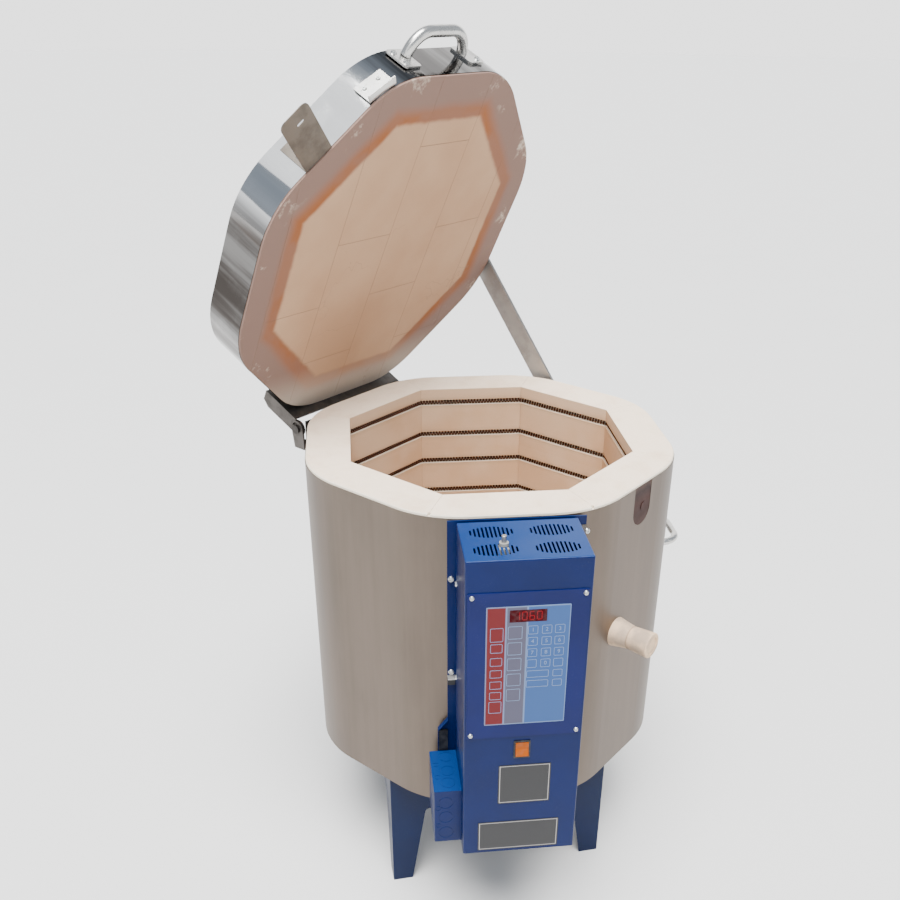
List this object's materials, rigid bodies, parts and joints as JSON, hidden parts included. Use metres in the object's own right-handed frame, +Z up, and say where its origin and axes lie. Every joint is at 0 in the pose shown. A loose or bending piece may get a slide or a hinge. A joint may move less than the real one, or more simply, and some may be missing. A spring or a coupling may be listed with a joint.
{
  "type": "ceramic kiln",
  "caption": "Eight-sided electric top-loading kiln on a leg stand, with a hinged brick lid held by a prop arm and a swing-out control box",
  "frame": {"origin": "on the floor, under the vertical axis of the eight-sided chamber", "axes": "+Z up, -Y toward the control box at the front, +X to the right of someone facing the box"},
  "size_m": [0.7602, 0.8424, 1.352],
  "materials": {
    "stand_blue": "satin enamel",
    "jacket_steel": "satin stainless sheet, lightly streaked",
    "fire_brick": "matt, fine pored",
    "lid_brick": "matt, stained round the edge by firing",
    "lid_board": "matt fibre board",
    "element_wire": "oxidised resistance wire",
    "porcelain": "matt unglazed",
    "terminal_brass": "plain",
    "stained_steel": "heat-stained",
    "bright_steel": "polished",
    "screw_steel": "plated",
    "hinge_steel": "dull rolled bar",
    "mirror_steel": "mirror polished stainless",
    "box_blue": "gloss powder coat",
    "panel_blue": "satin indigo paint",
    "keypad_film": "printed polyester film",
    "display_red": "dark red filter",
    "circuit_board": "solder mask green",
    "black_plastic": "moulded",
    "label_black": "printed aluminium",
    "transformer_iron": "varnished laminations",
    "amber_plastic": "translucent amber",
    "plunger_steel": "bright"
  },
  "bodies": {
    "kiln": {"stand_frame": "stand_blue", "leg_right_rear": "stand_blue", "leg_left_rear": "stand_blue", "leg_left_front": "stand_blue", "leg_right_front": "stand_blue", "base_pan": "jacket_steel", "floor_slab": "fire_brick", "brick_ring_1": "fire_brick", "brick_ring_2": "fire_brick", "brick_ring_3": "fire_brick", "brick_ring_4": "fire_brick", "element_1": "element_wire", "element_2": "element_wire", "element_3": "element_wire", "element_4": "element_wire", "element_bushings": "porcelain", "element_terminals": "terminal_brass", "thermocouple": "porcelain", "jacket": "jacket_steel", "stained_cover_plate": "stained_steel", "jacket_handle": "bright_steel", "body_screws": "screw_steel", "peephole_tube": "porcelain", "hinge_body_bracket": "hinge_steel", "hinge_pivot_bolts": "screw_steel", "prop_pivot_bolt": "screw_steel", "back_plate": "box_blue", "box_catch": "black_plastic", "wire_guard": "black_plastic", "box_hinge_fixed": "hinge_steel", "box_hinge_pin": "screw_steel"},
    "lid": {"lid_bricks": "lid_brick", "lid_band": "mirror_steel", "lid_board": "lid_board", "lid_cover": "mirror_steel", "lid_handle": "bright_steel", "corner_bracket": "bright_steel", "striker_plate": "bright_steel", "lid_screws": "screw_steel", "hinge_lid_bracket": "hinge_steel", "hinge_lid_bolts": "screw_steel", "prop_stud": "screw_steel"},
    "prop": {"prop_arm": "hinge_steel"},
    "box": {"control_box": "box_blue", "controller_plate": "panel_blue", "box_screws": "screw_steel", "keypad_overlay": "keypad_film", "display_window": "display_red", "controller_board": "circuit_board", "rocker_bezel": "black_plastic", "name_plates": "label_black", "lid_switch_body": "black_plastic", "relays": "black_plastic", "transformer": "transformer_iron", "junction_box": "box_blue", "box_hinge_moving": "box_blue"},
    "rocker": {"rocker": "amber_plastic"},
    "plunger": {"lid_switch_plunger": "plunger_steel"},
    "plug": {"peephole_plug": "porcelain"}
  },
  "joints": [
    {"name": "lid_hinge", "type": "hinge", "parent": "kiln", "child": "lid", "pos_m": [-0.21835, 0.21835, 0.7351], "axis": [-0.7071, -0.7071, 0], "range_deg": [-63.5, 0]},
    {"name": "prop_swing", "type": "hinge", "parent": "kiln", "child": "prop", "pos_m": [0.17267, 0.25187, 0.7032], "axis": [0.7071, 0.7071, 0], "range_deg": [-142, 0]},
    {"name": "box_hinge", "type": "hinge", "parent": "kiln", "child": "box", "pos_m": [0.0939, -0.3004, 0.5], "axis": [0, 0, 1], "range_deg": [0, 90]},
    {"name": "rocker_tilt", "type": "hinge", "parent": "box", "child": "rocker", "pos_m": [0.00415, -0.4131, 0.44545], "axis": [1, 0, 0], "range_deg": [0, 12]},
    {"name": "plunger_press", "type": "slide", "parent": "box", "child": "plunger", "axis": [0, 0, 1], "range_m": [-0.0087, 0]},
    {"name": "plug_pull", "type": "slide", "parent": "kiln", "child": "plug", "axis": [0.7071, -0.7071, 0], "range_m": [0, 0.08]}
  ],
  "couplings": [
    {"joint": "prop_swing", "follows": "lid_hinge", "ratio": 2.235},
    {"joint": "plunger_press", "follows": "lid_hinge", "m_per_rad": 0.00776}
  ]
}
